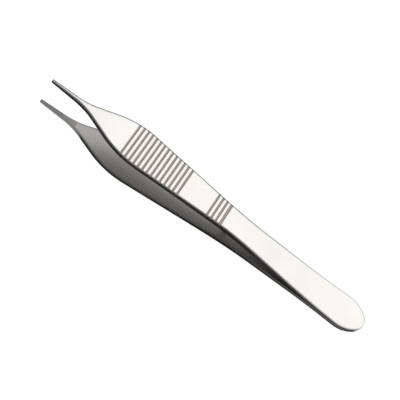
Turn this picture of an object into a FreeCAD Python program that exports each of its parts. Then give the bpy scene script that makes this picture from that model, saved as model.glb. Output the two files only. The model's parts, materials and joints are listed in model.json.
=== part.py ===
import FreeCAD, Part
import math
import os
import Sketcher

# Thumb forceps, 120 mm long: two forged spring arms, welded together at the rear end, and a guide
# pin between them. All sizes are in millimetres.
#
# Each arm is drawn in the forceps' own frame: x runs from the rear end to the tips, y across the
# width, and z is the height above the centre plane, in which the two arms touch at the weld.
# The finished pair is then laid down on the lower arm's flat thumb plate.

doc = FreeCAD.newDocument("thumb_forceps")

SIZES = [
    # Length, and the side view's outer face as corner points that large bends round off
    ("overall_length", 120.0),
    ("rear_thickness", 1.2),
    ("heel_bend_radius", 185.0),
    ("shank_bend_height", 4.73),
    ("shank_bend_radius", 120.0),
    ("neck_bend_height", 7.69),
    ("neck_bend_radius", 500.0),
    ("tip_outer_height", 7.52),
    # Inner face
    ("weld_length", 15.5),
    ("spring_end_height", 1.55),
    ("spring_end_radius", 300.0),
    ("hollow_height", 4.94),
    ("hollow_radius", 760.0),
    ("jaw_root_height", 5.84),
    ("jaw_step", 0.14),
    ("jaw_step_length", 0.4),
    ("tip_inner_height", 6.42),
    # Outline seen from above, as half widths
    ("rear_flat_half", 1.8),
    ("rear_nose_radius", 3.5),
    ("rear_shoulder_x", 4.6),
    ("rear_shoulder_half", 5.6),
    ("rear_shoulder_radius", 10.0),
    ("waist_half", 3.82),
    ("waist_radius", 150.0),
    ("plate_front_half", 6.8),
    ("plate_front_radius", 30.0),
    ("jaw_root_half", 0.78),
    ("jaw_root_radius", 21.0),
    ("tip_half", 0.46),
    ("tip_radius", 0.38),
    # Rounding along the outer face, and the break along the inner face ahead of the weld
    ("outer_edge_radius", 0.3),
    ("inner_edge_break", 0.12),
    # Cross grooves of the thumb plate: front band and rear band
    ("groove_radius", 0.45),
    ("groove_depth", 0.2),
    ("groove_pitch", 1.59),
    ("front_groove_count", 14),
    ("rear_groove_count", 3),
    ("end_groove_radius", 0.7),
    # Fine teeth across the gripping faces
    ("teeth_length", 8.0),
    ("tooth_pitch", 0.46),
    ("tooth_depth", 0.1),
    # Guide pin and its two holes
    ("pin_diameter", 1.4),
    ("pin_height", 2.3),
    ("pin_seat_depth", 0.8),
    ("pin_tip_chamfer", 0.25),
    ("guide_clearance", 0.4),
    ("guide_depth", 1.25),
]

# Stations along the arm, as shares of the length: the side view's bends, the outline's corners, the
# step behind the gripping face, the first groove of each band, the guide pin, and the middle of the
# plain stretch between the bands
STATIONS = [
    ("heel_bend", 0.14667),
    ("shank_bend", 0.4375),
    ("neck_bend", 0.87083),
    ("spring_end", 0.33333),
    ("hollow", 0.65),
    ("waist", 0.41333),
    ("plate_front", 0.765),
    ("jaw_root", 0.89667),
    ("jaw_step", 0.89),
    ("front_groove", 0.75917),
    ("rear_groove", 0.49625),
    ("end_groove", 0.45625),
    ("pin", 0.42917),
    ("rest", 0.54083),
]

sizes = doc.addObject("Spreadsheet::Sheet", "sizes")
cells = [(name, str(value)) for name, value in SIZES]
for name, share in STATIONS:
    cells.append((name + "_share", str(share)))
    cells.append((name + "_x", "=%s_share * overall_length" % name))
for row, (name, content) in enumerate(cells, start=1):
    sizes.set("A%d" % row, name)
    sizes.set("B%d" % row, content)
    sizes.setAlias("B%d" % row, name)
doc.recompute()

# Blanks and cutting shapes reach this far past the finished arm
MARGIN = 3.0

# Lines of the side view, as expressions
PLATE_RISE = "(sizes.neck_bend_height - sizes.shank_bend_height)"
PLATE_RUN = "(sizes.neck_bend_x - sizes.shank_bend_x)"
PLATE_SLOPE = "(%s / %s)" % (PLATE_RISE, PLATE_RUN)
PLATE_ANGLE = "atan(%s)" % PLATE_SLOPE
PLATE_LINE_START = "(sizes.shank_bend_height - sizes.shank_bend_x * %s)" % PLATE_SLOPE
INNER_SLOPE = ("((sizes.hollow_height - sizes.spring_end_height)"
               " / (sizes.hollow_x - sizes.spring_end_x))")
INNER_AT_PIN = "(sizes.spring_end_height + (sizes.pin_x - sizes.spring_end_x) * %s)" % INNER_SLOPE
JAW_X = "(sizes.jaw_step_x + sizes.jaw_step_length)"
JAW_HEIGHT = "(sizes.jaw_root_height - sizes.jaw_step)"
JAW_SLOPE = "((sizes.tip_inner_height - %s) / (sizes.overall_length - %s))" % (JAW_HEIGHT, JAW_X)
TIP_SLOPE = ("((sizes.tip_outer_height - sizes.neck_bend_height)"
             " / (sizes.overall_length - sizes.neck_bend_x))")


def number(expression):
    """Value of an expression of sheet cells, as a plain number."""
    value = sizes.evalExpression(expression)
    return float(getattr(value, "Value", value))


def on_line(x, x0, z0, slope):
    """Expression for the height at x of a line through (x0, z0)."""
    return "(%s + (%s - %s) * %s)" % (z0, x, x0, slope)


def origin_plane(body, role):
    return next(f for f in body.Origin.OriginFeatures if f.Role == role)


def new_sketch(body, role, name):
    sketch = body.newObject("Sketcher::SketchObject", name)
    sketch.AttachmentSupport = [(origin_plane(body, role), "")]
    sketch.MapMode = "FlatFace"
    return sketch


def bind(sketch, constraint, expression):
    """Add a dimension and tie it to the sheet."""
    index = sketch.addConstraint(constraint)
    sketch.setExpression("Constraints[%d]" % index, expression)


def bound_point(sketch, corner):
    """Construction point held at a pair of expressions."""
    x, y = number(corner[0]), number(corner[1])
    point = sketch.addGeometry(Part.Point(FreeCAD.Vector(x, y, 0)), True)
    bind(sketch, Sketcher.Constraint("DistanceX", -1, 1, point, 1, x), corner[0])
    bind(sketch, Sketcher.Constraint("DistanceY", -1, 1, point, 1, y), corner[1])
    return point


def corner_arc(before, corner, after, radius):
    """Tangent points and arc that round off one corner."""
    to_before = (before - corner).normalize()
    to_after = (after - corner).normalize()
    half = to_before.getAngle(to_after) / 2
    reach = radius / math.tan(half)
    start, end = corner + to_before * reach, corner + to_after * reach
    centre = corner + (to_before + to_after).normalize() * (radius / math.sin(half))
    left_turn = to_after.cross(to_before).z > 0
    first, last = (start, end) if left_turn else (end, start)
    angles = [math.atan2(p.y - centre.y, p.x - centre.x) for p in (first, last)]
    if angles[1] < angles[0]:
        angles[1] += 2 * math.pi
    circle = Part.Circle(centre, FreeCAD.Vector(0, 0, 1), radius)
    return start, end, Part.ArcOfCircle(circle, angles[0], angles[1]), left_turn


def rounded_outline(sketch, corners, radii):
    """Closed outline through bound corners, each rounded by its bound radius or left sharp."""
    count = len(corners)
    points = [bound_point(sketch, corner) for corner in corners]
    places = [FreeCAD.Vector(number(x), number(y), 0) for x, y in corners]
    arcs = {}
    leave, arrive = list(places), list(places)
    for i, radius in enumerate(radii):
        if radius:
            around = places[i - 1], places[i], places[(i + 1) % count]
            arrive[i], leave[i], arc, left_turn = corner_arc(*around, number(radius))
            arcs[i] = (arc, left_turn)
    lines = [sketch.addGeometry(Part.LineSegment(leave[i], arrive[(i + 1) % count]))
             for i in range(count)]
    for i, line in enumerate(lines):
        for end, corner in ((1, i), (2, (i + 1) % count)):
            if corner in arcs:
                sketch.addConstraint(Sketcher.Constraint("PointOnObject", points[corner], 1, line))
            else:
                sketch.addConstraint(Sketcher.Constraint("Coincident", line, end, points[corner], 1))
    for i, (arc, left_turn) in arcs.items():
        curve = sketch.addGeometry(arc)
        first, last = (1, 2) if left_turn else (2, 1)
        sketch.addConstraint(Sketcher.Constraint("Tangent", lines[i - 1], 2, curve, first))
        sketch.addConstraint(Sketcher.Constraint("Tangent", lines[i], 1, curve, last))
        bind(sketch, Sketcher.Constraint("Radius", curve, number(radii[i])), radii[i])


def pad_side_view(body):
    """Blank of one arm: its side view, as wide as the thumb plate and more."""
    sketch = new_sketch(body, "XZ_Plane", body.Label + "_side_view")
    rear, front = "-%s" % MARGIN, "(sizes.overall_length + %s)" % MARGIN
    tip_inner = on_line(front, JAW_X, JAW_HEIGHT, JAW_SLOPE)
    tip_outer = on_line(front, "sizes.neck_bend_x", "sizes.neck_bend_height", TIP_SLOPE)
    corners = [
        (rear, "0"),
        ("sizes.weld_length", "0"),
        ("sizes.spring_end_x", "sizes.spring_end_height"),
        ("sizes.hollow_x", "sizes.hollow_height"),
        ("sizes.jaw_step_x", "sizes.jaw_root_height"),
        (JAW_X, JAW_HEIGHT),
        (front, tip_inner),
        (front, tip_outer),
        ("sizes.neck_bend_x", "sizes.neck_bend_height"),
        ("sizes.shank_bend_x", "sizes.shank_bend_height"),
        ("sizes.heel_bend_x", "sizes.rear_thickness"),
        (rear, "sizes.rear_thickness"),
    ]
    radii = [None, None, "sizes.spring_end_radius", "sizes.hollow_radius", None, None, None, None,
             "sizes.neck_bend_radius", "sizes.shank_bend_radius", "sizes.heel_bend_radius", None]
    rounded_outline(sketch, corners, radii)
    pad = body.newObject("PartDesign::Pad", body.Label + "_blank")
    pad.Profile = sketch
    pad.Midplane = True
    pad.setExpression("Length", "2 * (sizes.plate_front_half + %s)" % MARGIN)
    doc.recompute()
    return pad


def cut_outline(body):
    """Everything outside the arm's outline, seen from above, comes off."""
    sketch = new_sketch(body, "XY_Plane", body.Label + "_outline")
    side = [
        ("0", "sizes.rear_flat_half", "sizes.rear_nose_radius"),
        ("sizes.rear_shoulder_x", "sizes.rear_shoulder_half", "sizes.rear_shoulder_radius"),
        ("sizes.waist_x", "sizes.waist_half", "sizes.waist_radius"),
        ("sizes.plate_front_x", "sizes.plate_front_half", "sizes.plate_front_radius"),
        ("sizes.jaw_root_x", "sizes.jaw_root_half", "sizes.jaw_root_radius"),
        ("sizes.overall_length", "sizes.tip_half", "sizes.tip_radius"),
    ]
    right = [(x, "-" + y) for x, y, radius in side]
    left = [(x, y) for x, y, radius in reversed(side)]
    radii = [radius for x, y, radius in side]
    rounded_outline(sketch, right + left, radii + radii[::-1])
    far = "(sizes.overall_length + %s)" % (2 * MARGIN)
    near = "-%s" % (2 * MARGIN)
    reach = "(sizes.plate_front_half + %s)" % (2 * MARGIN)
    rounded_outline(sketch, [(near, "-" + reach), (far, "-" + reach), (far, reach), (near, reach)],
                    [None] * 4)
    pocket = body.newObject("PartDesign::Pocket", body.Label + "_trim")
    pocket.Profile = sketch
    pocket.Type = "ThroughAll"
    pocket.Reversed = True
    check_cut(body, pocket)
    return pocket


def check_cut(body, feature):
    """Recompute, and stop if the new feature took nothing off."""
    before = body.Shape.Volume
    body.Tip = feature
    doc.recompute()
    if not body.Shape.isValid() or body.Shape.Volume >= before - 1e-4:
        raise RuntimeError("%s cuts nothing" % feature.Label)


def upward(face):
    """How far a face looks up, from -1 to 1, at its middle."""
    u0, u1, v0, v1 = face.ParameterRange
    return face.normalAt((u0 + u1) / 2, (v0 + v1) / 2).z


def rim_edges(shape, faces):
    """Names of the edges in which these faces meet the sides and the ends."""
    def edges_of(faces):
        return {edge.hashCode() for face in faces for edge in face.Edges}
    rim = edges_of(faces) & edges_of(f for f in shape.Faces if abs(upward(f)) < 0.1)
    return ["Edge%d" % i for i, edge in enumerate(shape.Edges, start=1) if edge.hashCode() in rim]


def dress_edges(body, kind, name, faces, dimension, expression):
    """Fillet or chamfer around some faces of the arm as it stands."""
    base = body.Tip
    dressing = body.newObject("PartDesign::" + kind, "%s_%s" % (body.Label, name))
    dressing.Base = (base, rim_edges(base.Shape, faces))
    dressing.setExpression(dimension, expression)
    check_cut(body, dressing)


def soften_edges(body):
    """The outer face is rounded all round, the inner one is broken where the arms stand apart."""
    outer = [f for f in body.Tip.Shape.Faces if upward(f) > 0.9]
    dress_edges(body, "Fillet", "outer_rounding", outer, "Radius", "sizes.outer_edge_radius")
    weld_end = number("sizes.weld_length")
    inner = [f for f in body.Tip.Shape.Faces if upward(f) < -0.9 and f.CenterOfMass.x > weld_end]
    dress_edges(body, "Chamfer", "inner_break", inner, "Size", "sizes.inner_edge_break")


def plate_place(x, height):
    """Corner at station x of the thumb plate, this high above it."""
    foot = on_line(x, "sizes.shank_bend_x", "sizes.shank_bend_height", PLATE_SLOPE)
    return ("(%s - %s * sin(%s))" % (x, height, PLATE_ANGLE),
            "(%s + %s * cos(%s))" % (foot, height, PLATE_ANGLE))


def round_groove(body, name, x, radius):
    """One round-bottomed groove straight across the thumb plate, and its sketch."""
    sketch = new_sketch(body, "XZ_Plane", name + "_section")
    centre = plate_place(x, "(%s - sizes.groove_depth)" % radius)
    point = bound_point(sketch, centre)
    middle = FreeCAD.Vector(number(centre[0]), number(centre[1]), 0)
    circle = sketch.addGeometry(Part.Circle(middle, FreeCAD.Vector(0, 0, 1), number(radius)))
    sketch.addConstraint(Sketcher.Constraint("Coincident", circle, 3, point, 1))
    bind(sketch, Sketcher.Constraint("Radius", circle, number(radius)), radius)
    groove = body.newObject("PartDesign::Pocket", name)
    groove.Profile = sketch
    groove.Type = "ThroughAll"
    groove.Midplane = True
    check_cut(body, groove)
    return groove


def repeat_along(body, feature, run, pitch, count):
    """Repeat a cut along a line of its own side view that runs between two corners."""
    sketch = new_sketch(body, "XZ_Plane", feature.Label + "_direction")
    ends = [bound_point(sketch, corner) for corner in run]
    places = [FreeCAD.Vector(number(x), number(y), 0) for x, y in run]
    line = sketch.addGeometry(Part.LineSegment(*places), True)
    for end, point in enumerate(ends, start=1):
        sketch.addConstraint(Sketcher.Constraint("Coincident", line, end, point, 1))
    pattern = body.newObject("PartDesign::LinearPattern", feature.Label + "_row")
    pattern.Originals = [feature]
    pattern.Direction = (sketch, ["Axis0"])
    pattern.setExpression("Length", "%s * (%s - 1)" % (pitch, count))
    pattern.setExpression("Occurrences", count)
    check_cut(body, pattern)


def groove_plate(body):
    """Front band of grooves, the plain stretch, and the rear band with its wider last groove."""
    rearwards = [plate_place("sizes.plate_front_x", "0"), plate_place("sizes.waist_x", "0")]
    for band in ("front", "rear"):
        name = "%s_%s_groove" % (body.Label, band)
        groove = round_groove(body, name, "sizes.%s_groove_x" % band, "sizes.groove_radius")
        repeat_along(body, groove, rearwards, "sizes.groove_pitch", "sizes.%s_groove_count" % band)
    round_groove(body, body.Label + "_end_groove", "sizes.end_groove_x", "sizes.end_groove_radius")


def cut_teeth(body):
    """Fine teeth across the gripping face, from the tip back."""
    name = body.Label + "_tooth_gap"
    sketch = new_sketch(body, "XZ_Plane", name + "_section")
    first = "(sizes.overall_length - sizes.tooth_pitch)"

    def place(x, depth):
        return (x, "(%s + %s)" % (on_line(x, JAW_X, JAW_HEIGHT, JAW_SLOPE), depth))
    rear = "(%s - sizes.tooth_pitch / 2)" % first
    front = "(%s + sizes.tooth_pitch / 2)" % first
    skim = "-sizes.tooth_depth / 4"
    corners = [place(rear, skim), place(front, skim), place(first, "sizes.tooth_depth")]
    rounded_outline(sketch, corners, [None] * 3)
    gap = body.newObject("PartDesign::Pocket", name)
    gap.Profile = sketch
    gap.Type = "ThroughAll"
    gap.Midplane = True
    check_cut(body, gap)
    backwards = [place("sizes.overall_length", "0"), place(JAW_X, "0")]
    count = "floor(sizes.teeth_length / sizes.tooth_pitch)"
    repeat_along(body, gap, backwards, "sizes.tooth_pitch", count)


def drill_inner_face(body, name, diameter, depth):
    """Blind round hole for the guide pin, square to the centre plane."""
    sketch = new_sketch(body, "XY_Plane", name + "_section")
    middle = FreeCAD.Vector(number("sizes.pin_x"), 0, 0)
    radius = number(diameter) / 2
    circle = sketch.addGeometry(Part.Circle(middle, FreeCAD.Vector(0, 0, 1), radius))
    sketch.addConstraint(Sketcher.Constraint("PointOnObject", circle, 3, -1))
    bind(sketch, Sketcher.Constraint("DistanceX", -1, 1, circle, 3, middle.x), "sizes.pin_x")
    bind(sketch, Sketcher.Constraint("Diameter", circle, 2 * radius), diameter)
    hole = body.newObject("PartDesign::Pocket", name)
    hole.Profile = sketch
    hole.Reversed = True
    hole.setExpression("Length", "%s + %s" % (INNER_AT_PIN, depth))
    check_cut(body, hole)


def make_arm(label, hole_name, hole_diameter, hole_depth):
    body = doc.addObject("PartDesign::Body", label)
    body.Label = label
    pad_side_view(body)
    cut_outline(body)
    soften_edges(body)
    groove_plate(body)
    cut_teeth(body)
    drill_inner_face(body, hole_name, hole_diameter, hole_depth)
    return body


def make_guide_pin():
    """Round pin with a chamfered end, drawn upright on the floor of its seat."""
    body = doc.addObject("PartDesign::Body", "guide_pin")
    body.Label = "guide_pin"
    sketch = new_sketch(body, "XY_Plane", "guide_pin_section")
    radius = number("sizes.pin_diameter") / 2
    circle = Part.Circle(FreeCAD.Vector(0, 0, 0), FreeCAD.Vector(0, 0, 1), radius)
    circle = sketch.addGeometry(circle)
    sketch.addConstraint(Sketcher.Constraint("Coincident", circle, 3, -1, 1))
    bind(sketch, Sketcher.Constraint("Diameter", circle, 2 * radius), "sizes.pin_diameter")
    shank = body.newObject("PartDesign::Pad", "guide_pin_shank")
    shank.Profile = sketch
    shank.setExpression("Length", "sizes.pin_seat_depth + sizes.pin_height")
    doc.recompute()
    top = max(range(len(shank.Shape.Edges)), key=lambda i: shank.Shape.Edges[i].BoundBox.ZMin)
    chamfer = body.newObject("PartDesign::Chamfer", "guide_pin_tip")
    chamfer.Base = (shank, ["Edge%d" % (top + 1)])
    chamfer.setExpression("Size", "sizes.pin_tip_chamfer")
    check_cut(body, chamfer)
    return body


# The pair lies on the flat of the lower arm's thumb plate. The origin is on the table below the
# middle of the plain stretch between the groove bands, and +X points to the tips.
LAID_DOWN = ("placement(vector(-(sizes.rest_x * cos({angle}) + ({start} + sizes.rest_x * {slope})"
             " * sin({angle})); 0; {start} * cos({angle})); rotation(vector(0; 1; 0); -{angle}))"
             ).format(angle=PLATE_ANGLE, start=PLATE_LINE_START, slope=PLATE_SLOPE)
TURNED_OVER = "placement(vector(0; 0; 0); rotation(vector(1; 0; 0); 180))"
ON_PIN_SEAT = ("placement(vector(sizes.pin_x; 0; -(%s + sizes.pin_seat_depth));"
               " rotation(vector(1; 0; 0); 0))") % INNER_AT_PIN

upper_arm = make_arm("upper_arm", "guide_hole", "(sizes.pin_diameter + 2 * sizes.guide_clearance)",
                     "sizes.guide_depth")
lower_arm = make_arm("lower_arm", "pin_seat", "sizes.pin_diameter", "sizes.pin_seat_depth")
guide_pin = make_guide_pin()
upper_arm.setExpression("Placement", LAID_DOWN)
lower_arm.setExpression("Placement", LAID_DOWN + " * " + TURNED_OVER)
guide_pin.setExpression("Placement", LAID_DOWN + " * " + ON_PIN_SEAT)
doc.recompute()

for obj in doc.Objects:
    if "Invalid" in obj.State or "Error" in obj.State:
        raise RuntimeError("%s did not build: %s" % (obj.Label, obj.State))

os.makedirs("parts", exist_ok=True)
for body in (upper_arm, lower_arm, guide_pin):
    shape = body.Shape
    if shape.isNull() or not shape.isValid() or len(shape.Solids) != 1:
        raise RuntimeError("%s has no sound solid" % body.Label)
    shape.exportStep("parts/%s.step" % body.Label)
    print("%s: %.1f mm3, %d faces" % (body.Label, shape.Volume, len(shape.Faces)))
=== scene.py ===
import json
import math

import bpy
from bpy.props import FloatProperty, FloatVectorProperty, IntProperty, PointerProperty
from mathutils import Euler, Matrix, Vector

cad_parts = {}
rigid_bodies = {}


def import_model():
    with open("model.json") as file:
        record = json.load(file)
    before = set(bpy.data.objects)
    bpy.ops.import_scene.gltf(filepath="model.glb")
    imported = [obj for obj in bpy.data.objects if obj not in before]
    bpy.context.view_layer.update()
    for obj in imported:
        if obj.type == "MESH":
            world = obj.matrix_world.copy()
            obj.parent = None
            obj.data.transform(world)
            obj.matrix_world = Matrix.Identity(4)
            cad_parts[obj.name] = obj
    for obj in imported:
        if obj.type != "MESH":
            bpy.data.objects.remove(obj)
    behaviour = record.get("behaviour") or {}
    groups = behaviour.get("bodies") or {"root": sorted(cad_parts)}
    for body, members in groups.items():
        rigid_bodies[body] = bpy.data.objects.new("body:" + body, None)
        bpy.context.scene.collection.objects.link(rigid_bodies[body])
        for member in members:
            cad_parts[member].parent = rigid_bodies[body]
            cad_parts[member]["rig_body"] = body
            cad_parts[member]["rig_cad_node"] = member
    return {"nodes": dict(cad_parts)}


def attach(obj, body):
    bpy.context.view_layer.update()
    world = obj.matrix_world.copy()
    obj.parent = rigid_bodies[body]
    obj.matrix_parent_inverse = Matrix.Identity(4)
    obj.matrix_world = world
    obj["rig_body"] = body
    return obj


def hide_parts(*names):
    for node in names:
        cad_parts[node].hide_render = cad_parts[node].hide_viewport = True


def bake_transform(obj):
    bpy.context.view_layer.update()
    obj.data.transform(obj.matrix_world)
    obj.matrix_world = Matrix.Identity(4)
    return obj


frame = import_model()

bl_info = {
    "name": "Thumb Forceps",
    "version": (1, 0, 0),
    "blender": (4, 5, 0),
    "location": "View3D > Sidebar > Forceps",
    "description": "Finishes a pair of thumb forceps in steel and sets a pale studio round it",
    "category": "Object",
}

MM = 0.001

# The CAD lays the pair down on its lower thumb plate. In the forceps' own frame x runs from the
# rear end to the tips, y across, and z up from the centre plane between the two arms, against
# which each thumb plate leans by the same angle.
LIE_ANGLE = math.radians(3.2580)
REAR_END = Vector((-65.104 * MM, 0, 1.739 * MM))
TO_OWN_FRAME = Euler((0, LIE_ANGLE, 0)).to_matrix()
FROM_OWN_FRAME = Euler((0, -LIE_ANGLE, 0)).to_matrix()

# Distance from the rear end at which the toothed faces of the jaws start
JAW_START = 106.9 * MM

# What tells the faces of the cross grooves from the rest of a thumb plate, in the own frame
PLATE_START = Vector((52.5 * MM, 0, 4.73 * MM))  # where the upper plate's outer face starts
GROOVED_STRETCH = (53.5 * MM, 92 * MM)  # the grooves lie between these, from the rear end
GROOVE_DEPTHS = (-0.02 * MM, 0.25 * MM)  # and between these, down from the outer face
LEAN_LIMIT = math.radians(4)  # their faces lean more than this against the outer face
DEPTH_LIMIT = 0.05 * MM  # or lie deeper than this
SIDEWAYS_LIMIT = 0.02  # and their normals point sideways by less than this
OUTWARD_LIMIT = 0.4  # and out of the plate by more than this

# A face looks at the other arm when its normal points that way by more than this
INWARD_LIMIT = 0.5

# Places of an arm's finishes in its list of materials
SATIN, SHADED_INNER, GROOVED, TOOTHED = range(4)

# Points of a CAD mesh that are closer than this are one point
MERGE_DISTANCE = 0.0005 * MM

# Places of the colour sockets on a Mix node
MIX_A, MIX_B, MIX_RESULT = 6, 7, 2

# Middle range of a noise texture, beyond which it seldom goes
NOISE_LOW, NOISE_HIGH = 0.3, 0.7

# The floor lies just under the forceps, and the cards lie between the two
FLOOR_LEVEL = -0.1 * MM
CARD_LEVEL = -0.05 * MM

# Name, middle, size and grey of the dark cards on the floor
CARDS = (
    ("near_card", (0, 52.3 * MM), (400 * MM, 99.4 * MM), 0.15),
    ("far_card", (0, -262 * MM), (1200 * MM, 480 * MM), 0.03),
)

# Height in a direction, 0 level and 1 straight up, where the walls end and the ceiling starts
WALL_END, CEILING_START = 0.10, 0.25


def own_frame(point):
    """A point of the laid-down pair, in the forceps' own frame."""
    return TO_OWN_FRAME @ (point - REAR_END)


def laid_down(x):
    """The laid-down place of the point on the centre plane this far from the rear end."""
    return FROM_OWN_FRAME @ Vector((x, 0, 0)) + REAR_END


# Sizes and colours

class SteelFinish(bpy.types.PropertyGroup):
    outer_colour: FloatVectorProperty(
        name="Outer faces", description="Satin steel of the outer faces",
        subtype="COLOR", size=3, min=0, max=1, default=(0.818, 0.798, 0.768))
    # Painted shade: darker than the outer faces to stand in for the shade between the two arms
    inner_shaded_colour: FloatVectorProperty(
        name="Inner faces", description="Steel of the faces that look at each other, darkened by painted shade",
        subtype="COLOR", size=3, min=0, max=1, default=(0.468, 0.456, 0.442))
    # Painted edge shade: the sides and roundings take this darker colour to stand in for the dark
    # surroundings they reflect
    edge_shade_colour: FloatVectorProperty(
        name="Painted edge shade", description="Steel of the sides and roundings, darker than the broad faces",
        subtype="COLOR", size=3, min=0, max=1, default=(0.20, 0.194, 0.188))
    # Painted shade: darker to stand in for the shade and dim reflections on the toothed faces of
    # the jaws
    jaw_shaded_colour: FloatVectorProperty(
        name="Gripping faces", description="Steel of the toothed faces at the tips",
        subtype="COLOR", size=3, min=0, max=1, default=(0.31, 0.30, 0.288))
    # Painted shade: the grooves are darker to stand in for the shade and dark reflections in these
    # recesses
    groove_shaded_colour: FloatVectorProperty(
        name="Grooves", description="Steel in the cross grooves of the thumb plates, darkened by painted shade",
        subtype="COLOR", size=3, min=0, max=1, default=(0.41, 0.36, 0.325))
    pin_colour: FloatVectorProperty(
        name="Guide pin", description="Turned steel of the guide pin",
        subtype="COLOR", size=3, min=0, max=1, default=(0.55, 0.55, 0.55))
    grain_length: FloatProperty(
        name="Grain length", description="Length of the grinding lines, along the arms",
        unit="LENGTH", default=9 * MM)
    grain_width: FloatProperty(
        name="Grain width", description="Width of one grinding line",
        unit="LENGTH", default=0.16 * MM)
    fine_grain: FloatProperty(
        name="Fine grain", description="Share of that length and width in the grooves and jaws",
        subtype="FACTOR", min=0.1, max=1, default=0.6)


class ArmModel(bpy.types.PropertyGroup):
    spring_start: FloatProperty(
        name="Spring start",
        description="Distance from the rear end at which the arm starts to bend",
        unit="LENGTH", default=15.5 * MM)
    spring_end: FloatProperty(
        name="Spring end",
        description="Distance from the rear end at which the arm stops bending",
        unit="LENGTH", default=30.5 * MM)
    spring_cuts: IntProperty(
        name="Spring cuts", description="Cross cuts that let the springy stretch bend smoothly",
        min=2, default=14)
    smooth_angle: FloatProperty(
        name="Smooth angle", description="Edges that turn less than this are shaded smooth",
        subtype="ANGLE", default=math.radians(24))


class Studio(bpy.types.PropertyGroup):
    floor_size: FloatProperty(
        name="Floor", description="Side of the square floor", unit="LENGTH", default=6.0)
    floor_colour: FloatVectorProperty(
        name="Floor colour", description="Matt pale floor",
        subtype="COLOR", size=3, min=0, max=1, default=(0.48, 0.48, 0.48))
    floor_glow: FloatProperty(
        name="Floor glow",
        description="Light of the floor's own, which makes its colour up to white", default=0.84)
    wall_light: FloatProperty(
        name="Wall light", description="Strength of the pale walls round the horizon", default=0.9)
    ceiling_light: FloatProperty(
        name="Ceiling light", description="Strength of the dimmer ceiling", default=0.55)
    softbox_place: FloatVectorProperty(
        name="Softbox", description="Place of the middle of the softbox",
        subtype="TRANSLATION", unit="LENGTH", size=3, default=(-0.27, -0.53, 0.89))
    softbox_size: FloatVectorProperty(
        name="Softbox size", description="Length and width of the softbox",
        subtype="XYZ", unit="LENGTH", size=2, default=(1.0, 0.62))
    softbox_power: FloatProperty(
        name="Softbox power", description="Power of the softbox", unit="POWER", default=1.4)
    camera_place: FloatVectorProperty(
        name="Camera", description="Place of the camera",
        subtype="TRANSLATION", unit="LENGTH", size=3, default=(0.01085, 0.19576, 0.34824))
    camera_turn: FloatVectorProperty(
        name="Camera turn", description="Rotation of the camera", subtype="EULER", size=3,
        default=tuple(math.radians(a) for a in (24.326, -18.047, -149.294)))
    focal_length: FloatProperty(
        name="Focal length", description="Focal length of the camera", unit="CAMERA",
        default=117.4)


# Materials

def add_node(tree, kind, settings=None, inputs=None):
    """A node with its settings and unlinked inputs filled in; inputs go by name or place."""
    node = tree.nodes.new(kind)
    for key, value in (settings or {}).items():
        setattr(node, key, value)
    for key, value in (inputs or {}).items():
        node.inputs[key].default_value = value
    return node


def new_group(name, inputs, outputs):
    """A shader node group with named sockets, and its two ends."""
    tree = bpy.data.node_groups.new(name, "ShaderNodeTree")
    for direction, sockets in (("INPUT", inputs), ("OUTPUT", outputs)):
        for label, kind, value in sockets:
            socket = tree.interface.new_socket(label, in_out=direction, socket_type=kind)
            if value is not None:
                socket.default_value = value
    return tree, tree.nodes.new("NodeGroupInput"), tree.nodes.new("NodeGroupOutput")


def stretched_noise(tree, place, lengths, inputs):
    """Noise whose blobs have these lengths along the three axes, as an output between 0 and 1."""
    link = tree.links.new
    sizes = add_node(tree, "ShaderNodeCombineXYZ")
    for axis, length in zip("XYZ", lengths):
        link(length, sizes.inputs[axis])
    stretch = add_node(tree, "ShaderNodeVectorMath", {"operation": "DIVIDE"})
    link(place, stretch.inputs[0])
    link(sizes.outputs["Vector"], stretch.inputs[1])
    noise = add_node(tree, "ShaderNodeTexNoise", inputs={"Scale": 1.0, **inputs})
    link(stretch.outputs["Vector"], noise.inputs["Vector"])
    return noise.outputs["Fac"]


def ground_grain():
    """Node group: fine lines along the arm and slow clouds, as grinding and polishing leave."""
    name = "Ground Grain"
    if name in bpy.data.node_groups:
        return bpy.data.node_groups[name]
    tree, given, result = new_group(
        name,
        [("Vector", "NodeSocketVector", None),
         ("Line Length", "NodeSocketFloat", 9 * MM),
         ("Line Width", "NodeSocketFloat", 0.16 * MM),
         ("Cloud Size", "NodeSocketFloat", 11 * MM)],
        [("Lines", "NodeSocketFloat", None), ("Clouds", "NodeSocketFloat", None)])
    place, length, width, cloud = (given.outputs[label] for label in (
        "Vector", "Line Length", "Line Width", "Cloud Size"))
    lines = stretched_noise(tree, place, (length, width, width),
                            {"Detail": 4.0, "Roughness": 0.62, "Distortion": 0.15})
    clouds = stretched_noise(tree, place, (cloud, cloud, cloud),
                             {"Detail": 3.0, "Roughness": 0.5})
    tree.links.new(lines, result.inputs["Lines"])
    tree.links.new(clouds, result.inputs["Clouds"])
    return tree


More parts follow.
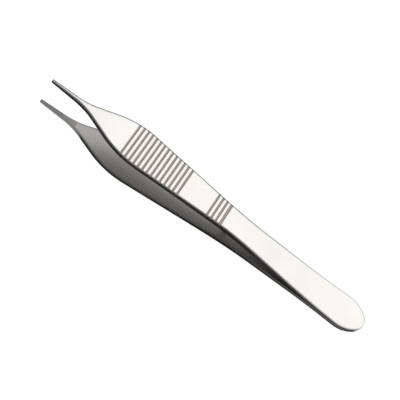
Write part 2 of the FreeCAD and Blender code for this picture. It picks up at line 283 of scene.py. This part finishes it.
def painted_edge_shade():
    """Node group: painted edge shade, 0 on the broad faces, rising towards the edges and on the
    sides and ends.

    It tells an edge by how far the rounded normal leans, and Weights say how much a lean along
    each axis counts. The mask stands in for the dark reflections that the sides and roundings
    catch; it is full towards the tips and falls to a share of that at the rear."""
    name = "Soft Edge"
    if name in bpy.data.node_groups:
        return bpy.data.node_groups[name]
    tree, given, result = new_group(
        name,
        [("Place", "NodeSocketVector", None),
         ("Radius", "NodeSocketFloat", 0.9 * MM),
         ("Weights", "NodeSocketVector", (0.15, 1.0, 0.0)),
         ("Starts At", "NodeSocketFloat", 0.03),
         ("Full At", "NodeSocketFloat", 0.18),
         ("Faded Until", "NodeSocketFloat", -54 * MM),
         ("Full From", "NodeSocketFloat", -16 * MM),
         ("Faded Share", "NodeSocketFloat", 0.4)],
        [("Mask", "NodeSocketFloat", None)])
    link = tree.links.new
    rounding = add_node(tree, "ShaderNodeBevel", {"samples": 8})
    link(given.outputs["Radius"], rounding.inputs["Radius"])
    weighted = add_node(tree, "ShaderNodeVectorMath", {"operation": "MULTIPLY"})
    link(rounding.outputs["Normal"], weighted.inputs[0])
    link(given.outputs["Weights"], weighted.inputs[1])
    lean = add_node(tree, "ShaderNodeVectorMath", {"operation": "LENGTH"})
    link(weighted.outputs["Vector"], lean.inputs[0])
    spread = add_node(tree, "ShaderNodeMapRange", {"interpolation_type": "SMOOTHSTEP"})
    link(lean.outputs["Value"], spread.inputs["Value"])
    link(given.outputs["Starts At"], spread.inputs["From Min"])
    link(given.outputs["Full At"], spread.inputs["From Max"])
    along = add_node(tree, "ShaderNodeSeparateXYZ")
    link(given.outputs["Place"], along.inputs["Vector"])
    # The painted edge shade fades to a share of its strength towards the rear end
    rear_fade = add_node(tree, "ShaderNodeMapRange")
    link(along.outputs["X"], rear_fade.inputs["Value"])
    link(given.outputs["Faded Until"], rear_fade.inputs["From Min"])
    link(given.outputs["Full From"], rear_fade.inputs["From Max"])
    link(given.outputs["Faded Share"], rear_fade.inputs["To Min"])
    both = add_node(tree, "ShaderNodeMath", {"operation": "MULTIPLY"})
    link(spread.outputs["Result"], both.inputs[0])
    link(rear_fade.outputs["Result"], both.inputs[1])
    link(both.outputs[0], result.inputs["Mask"])
    return tree


def spread_noise(tree, noise, low, high):
    """The middle range of a noise, mapped between two values."""
    spread = add_node(tree, "ShaderNodeMapRange", inputs={
        "From Min": NOISE_LOW, "From Max": NOISE_HIGH, "To Min": low, "To Max": high})
    tree.links.new(noise, spread.inputs["Value"])
    return spread.outputs["Result"]


def mixed(tree, factor, first, second):
    """The mix of two colours, each of them fixed or another node's output."""
    mix = add_node(tree, "ShaderNodeMix", {"data_type": "RGBA"})
    tree.links.new(factor, mix.inputs["Factor"])
    for place, colour in ((MIX_A, first), (MIX_B, second)):
        if isinstance(colour, bpy.types.NodeSocket):
            tree.links.new(colour, mix.inputs[place])
        else:
            mix.inputs[place].default_value = (*colour, 1)
    return mix.outputs[MIX_RESULT]


def steel(name, colour, line_length, line_width, line_height, darker, roughness, edge_shade=None):
    """Steel whose colour and roughness vary a little along its grinding lines and clouds.

    darker is the share of the colour that the darkest lines keep, and roughness is the range over
    the clouds. With an edge shade colour, the steel takes that one towards its edges and on its
    sides: painted edge shade that stands in for the dark reflections there."""
    if name in bpy.data.materials:
        return bpy.data.materials[name]
    material = bpy.data.materials.new(name)
    material.use_nodes = True
    tree = material.node_tree
    link = tree.links.new
    shader = tree.nodes["Principled BSDF"]
    shader.inputs["Metallic"].default_value = 1.0
    place = add_node(tree, "ShaderNodeTexCoord")
    grain = add_node(tree, "ShaderNodeGroup", {"node_tree": ground_grain()},
                     {"Line Length": line_length, "Line Width": line_width})
    link(place.outputs["Object"], grain.inputs["Vector"])
    surface = mixed(tree, spread_noise(tree, grain.outputs["Lines"], 0.0, 1.0),
                    [channel * darker for channel in colour], colour)
    if edge_shade:
        # Painted edge shade: towards the edges and on the sides the colour turns to the darker edge
        # colour
        edge = add_node(tree, "ShaderNodeGroup", {"node_tree": painted_edge_shade()})
        link(place.outputs["Object"], edge.inputs["Place"])
        surface = mixed(tree, edge.outputs["Mask"], surface, edge_shade)
    link(surface, shader.inputs["Base Color"])
    link(spread_noise(tree, grain.outputs["Clouds"], *roughness), shader.inputs["Roughness"])
    bump = add_node(tree, "ShaderNodeBump", inputs={"Strength": 1.0, "Distance": line_height})
    link(grain.outputs["Lines"], bump.inputs["Height"])
    link(bump.outputs["Normal"], shader.inputs["Normal"])
    return material


def arm_finishes():
    """The finishes of an arm, in the order SATIN, SHADED_INNER, GROOVED, TOOTHED.

    All but the toothed one take the painted edge shade, and the inner, groove and toothed colours
    are darkened by painted shade.
    """
    finish = bpy.context.scene.forceps_finish
    edge_shade = finish.edge_shade_colour
    broad = (finish.grain_length, finish.grain_width)
    fine = [size * finish.fine_grain for size in broad]
    return [
        steel("Satin steel", finish.outer_colour, *broad, line_height=0.0006 * MM,
              darker=0.965, roughness=(0.24, 0.31), edge_shade=edge_shade),
        steel("Inner steel with painted shade", finish.inner_shaded_colour, *broad, line_height=0.0012 * MM,
              darker=0.90, roughness=(0.34, 0.42), edge_shade=edge_shade),
        steel("Groove steel with painted shade", finish.groove_shaded_colour, *fine, line_height=0.0012 * MM,
              darker=0.88, roughness=(0.30, 0.38), edge_shade=edge_shade),
        steel("Toothed steel with painted shade", finish.jaw_shaded_colour, *fine, line_height=0.0012 * MM,
              darker=0.88, roughness=(0.36, 0.44)),
    ]


# Modelling helpers

def select_only(piece):
    """Select this piece, make it the active one and deselect all else."""
    bpy.ops.object.select_all(action="DESELECT")
    piece.select_set(True)
    bpy.context.view_layer.objects.active = piece


def copy_of_node(node, name):
    """A free copy of a CAD node without a finish, its loose triangles joined into one surface."""
    select_only(frame["nodes"][node])
    bpy.ops.object.duplicate()
    piece = bpy.context.object
    piece.name = piece.data.name = name
    bpy.ops.object.parent_clear(type="CLEAR_KEEP_TRANSFORM")
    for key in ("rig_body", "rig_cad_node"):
        if key in piece:
            del piece[key]
    piece.data.materials.clear()
    bpy.ops.mesh.customdata_custom_splitnormals_clear()
    bpy.ops.object.mode_set(mode="EDIT")
    bpy.ops.mesh.select_all(action="SELECT")
    bpy.ops.mesh.remove_doubles(threshold=MERGE_DISTANCE)
    bpy.ops.object.mode_set(mode="OBJECT")
    return piece


def cut_across(piece, stations):
    """Cross cuts at these distances from the rear end, square to the centre plane."""
    square = FROM_OWN_FRAME @ Vector((1, 0, 0))
    select_only(piece)
    bpy.ops.object.mode_set(mode="EDIT")
    for x in stations:
        bpy.ops.mesh.select_all(action="SELECT")
        bpy.ops.mesh.bisect(plane_co=laid_down(x), plane_no=square)
    bpy.ops.object.mode_set(mode="OBJECT")


def smooth(piece):
    """Smooth shading over the roundings, with the broad faces kept flat."""
    select_only(piece)
    bpy.ops.object.shade_smooth_by_angle(angle=bpy.context.scene.forceps_arms.smooth_angle)
    bpy.ops.object.modifier_add(type="WEIGHTED_NORMAL")
    weighted = piece.modifiers[-1]
    weighted.keep_sharp = True
    bpy.ops.object.modifier_apply(modifier=weighted.name)


def in_groove(centre, normal, side):
    """True for a face in a cross groove of the thumb plate on this side, +1 upper, -1 lower."""
    spot = own_frame(centre)
    plate_out = Vector((-math.sin(LIE_ANGLE), 0, math.cos(LIE_ANGLE)))
    depth = (PLATE_START - Vector((spot.x, 0, spot.z * side))).dot(plate_out)
    own_normal = TO_OWN_FRAME @ normal
    facing_out = (Euler((0, side * LIE_ANGLE, 0)).to_matrix() @ own_normal).z * side
    return (GROOVED_STRETCH[0] < spot.x < GROOVED_STRETCH[1]
            and GROOVE_DEPTHS[0] < depth < GROOVE_DEPTHS[1]
            and (facing_out < math.cos(LEAN_LIMIT) or depth > DEPTH_LIMIT)
            and abs(normal.y) < SIDEWAYS_LIMIT
            and facing_out > OUTWARD_LIMIT)


def paint(piece, side):
    """Each face takes its finish: the grooves, what looks at the other arm, and the rest. The
    grooves and the faces that look at the other arm take colours darkened by painted shade.
    """
    for material in arm_finishes():
        piece.data.materials.append(material)
    for face in piece.data.polygons:
        if in_groove(face.center, face.normal, side):
            face.material_index = GROOVED
        elif face.normal.z * side < -INWARD_LIMIT:
            on_jaw = own_frame(face.center).x > JAW_START
            face.material_index = TOOTHED if on_jaw else SHADED_INNER
        else:
            face.material_index = SATIN


# The pieces

class FORCEPS_OT_upper_arm(bpy.types.Operator):
    """Finish the upper arm in steel, with cross cuts along its springy stretch"""
    bl_idname = "forceps.upper_arm"
    bl_label = "Upper arm"

    def execute(self, context):
        arms = context.scene.forceps_arms
        piece = copy_of_node("upper_arm", "upper_arm_steel")
        run = arms.spring_end - arms.spring_start
        cut_across(piece, [arms.spring_start + run * i / (arms.spring_cuts - 1)
                           for i in range(arms.spring_cuts)])
        paint(piece, 1)
        smooth(piece)
        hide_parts("upper_arm")
        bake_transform(piece)
        return {"FINISHED"}


class FORCEPS_OT_lower_arm(bpy.types.Operator):
    """Finish the lower arm, which the forceps lie on, in steel"""
    bl_idname = "forceps.lower_arm"
    bl_label = "Lower arm"

    def execute(self, context):
        piece = copy_of_node("lower_arm", "lower_arm_steel")
        paint(piece, -1)
        smooth(piece)
        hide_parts("lower_arm")
        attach(piece, "lower")
        return {"FINISHED"}


class FORCEPS_OT_guide_pin(bpy.types.Operator):
    """Finish the guide pin between the arms in turned steel"""
    bl_idname = "forceps.guide_pin"
    bl_label = "Guide pin"

    def execute(self, context):
        finish = context.scene.forceps_finish
        piece = copy_of_node("guide_pin", "guide_pin_steel")
        piece.data.materials.append(steel(
            "Turned steel", finish.pin_colour, line_length=0.3 * MM, line_width=0.1 * MM,
            line_height=0.001 * MM, darker=0.9, roughness=(0.25, 0.3)))
        smooth(piece)
        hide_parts("guide_pin")
        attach(piece, "lower")
        return {"FINISHED"}


# The studio

def matt_sheet(name, middle, size, colour):
    """A flat, level stage sheet of one matt colour."""
    bpy.ops.object.select_all(action="DESELECT")
    bpy.ops.mesh.primitive_plane_add(size=1, location=middle)
    sheet = bpy.context.object
    sheet.name = sheet.data.name = name
    sheet.scale = (*size, 1)
    bpy.ops.object.transform_apply(location=True, rotation=False, scale=True)
    material = bpy.data.materials.new(name)
    material.use_nodes = True
    shader = material.node_tree.nodes["Principled BSDF"]
    shader.inputs["Base Color"].default_value = (*colour, 1)
    shader.inputs["Roughness"].default_value = 0.9
    shader.inputs["Specular IOR Level"].default_value = 0.0
    sheet.data.materials.append(material)
    return sheet


def backdrop_rays(tree):
    """1 for rays that come from the camera or from a reflecting or clear surface, else 0."""
    path = add_node(tree, "ShaderNodeLightPath")
    rays = path.outputs["Is Camera Ray"]
    for kind in ("Is Glossy Ray", "Is Transmission Ray"):
        either = add_node(tree, "ShaderNodeMath", {"operation": "MAXIMUM"})
        tree.links.new(rays, either.inputs[0])
        tree.links.new(path.outputs[kind], either.inputs[1])
        rays = either.outputs[0]
    return rays


def pale_floor(size, colour, glow):
    """The floor, which shows white where nothing shades it."""
    floor = matt_sheet("floor", (0, 0, FLOOR_LEVEL), (size, size), colour)
    tree = floor.active_material.node_tree
    shader = tree.nodes["Principled BSDF"]
    shader.inputs["Emission Color"].default_value = (1, 1, 1, 1)
    strength = add_node(tree, "ShaderNodeMath", {"operation": "MULTIPLY"}, {1: glow})
    tree.links.new(backdrop_rays(tree), strength.inputs[0])
    tree.links.new(strength.outputs[0], shader.inputs["Emission Strength"])


def dark_cards():
    """Only reflections see the cards: they give steel its dark edges and shade nothing."""
    for name, (x, y), size, grey in CARDS:
        card = matt_sheet(name, (x, y, CARD_LEVEL), size, (grey, grey, grey))
        card.visible_camera = False
        card.visible_diffuse = False
        card.visible_transmission = False
        card.visible_shadow = False


def facing_middle(place):
    """Rotation of a lamp at this place that shines at the middle, its length along the forceps."""
    back = place.normalized()
    along = (Vector((1, 0, 0)) - back * back.x).normalized()
    return Matrix((along, back.cross(along), back)).transposed().to_euler()


def studio_walls(wall_light, ceiling_light):
    """World: pale walls round the horizon, and a dimmer ceiling."""
    world = bpy.data.worlds.new("Pale studio")
    world.use_nodes = True
    tree = world.node_tree
    direction = add_node(tree, "ShaderNodeTexCoord")
    axes = add_node(tree, "ShaderNodeSeparateXYZ")
    tree.links.new(direction.outputs["Generated"], axes.inputs["Vector"])
    strength = add_node(tree, "ShaderNodeMapRange", inputs={
        "From Min": WALL_END, "From Max": CEILING_START,
        "To Min": wall_light, "To Max": ceiling_light})
    tree.links.new(axes.outputs["Z"], strength.inputs["Value"])
    ambient = tree.nodes["Background"]
    ambient.inputs["Color"].default_value = (1, 1, 1, 1)
    tree.links.new(strength.outputs["Result"], ambient.inputs["Strength"])
    return world


class FORCEPS_OT_studio(bpy.types.Operator):
    """Set the camera, the pale floor, the dark cards that the steel reflects, and the soft light"""
    bl_idname = "forceps.studio"
    bl_label = "Studio"

    def execute(self, context):
        scene = context.scene
        studio = scene.forceps_studio
        bpy.ops.object.camera_add(location=studio.camera_place, rotation=studio.camera_turn)
        camera = context.object
        camera.data.lens = studio.focal_length
        camera.data.clip_start = 10 * MM
        scene.camera = camera

        pale_floor(studio.floor_size, studio.floor_colour, studio.floor_glow)
        dark_cards()

        bpy.ops.object.light_add(type="AREA", location=studio.softbox_place)
        softbox = context.object
        softbox.rotation_euler = facing_middle(Vector(studio.softbox_place))
        softbox.data.shape = "RECTANGLE"
        softbox.data.size, softbox.data.size_y = studio.softbox_size
        softbox.data.energy = studio.softbox_power
        scene.world = studio_walls(studio.wall_light, studio.ceiling_light)
        scene.view_settings.view_transform = "Standard"
        return {"FINISHED"}


# The add-on

class FORCEPS_PT_sidebar(bpy.types.Panel):
    bl_idname = "FORCEPS_PT_sidebar"
    bl_label = "Thumb Forceps"
    bl_space_type = "VIEW_3D"
    bl_region_type = "UI"
    bl_category = "Forceps"

    def draw(self, context):
        layout = self.layout
        for name in GROUPS:
            group = getattr(context.scene, name)
            box = layout.box()
            for key in group.__annotations__:
                box.prop(group, key)
        for operator in OPERATORS:
            layout.operator(operator.bl_idname)


GROUPS = {"forceps_finish": SteelFinish, "forceps_arms": ArmModel, "forceps_studio": Studio}
OPERATORS = (FORCEPS_OT_upper_arm, FORCEPS_OT_lower_arm, FORCEPS_OT_guide_pin, FORCEPS_OT_studio)


def register():
    for cls in (*GROUPS.values(), *OPERATORS, FORCEPS_PT_sidebar):
        bpy.utils.register_class(cls)
    for name, cls in GROUPS.items():
        setattr(bpy.types.Scene, name, PointerProperty(type=cls))


def unregister():
    for name in GROUPS:
        delattr(bpy.types.Scene, name)
    for cls in (FORCEPS_PT_sidebar, *reversed(OPERATORS), *reversed(list(GROUPS.values()))):
        bpy.utils.unregister_class(cls)


def main():
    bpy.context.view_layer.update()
    register()
    bpy.ops.forceps.studio()
    bpy.ops.forceps.upper_arm()
    bpy.ops.forceps.lower_arm()
    bpy.ops.forceps.guide_pin()
    bpy.context.view_layer.update()


if __name__ == "__main__":
    main()
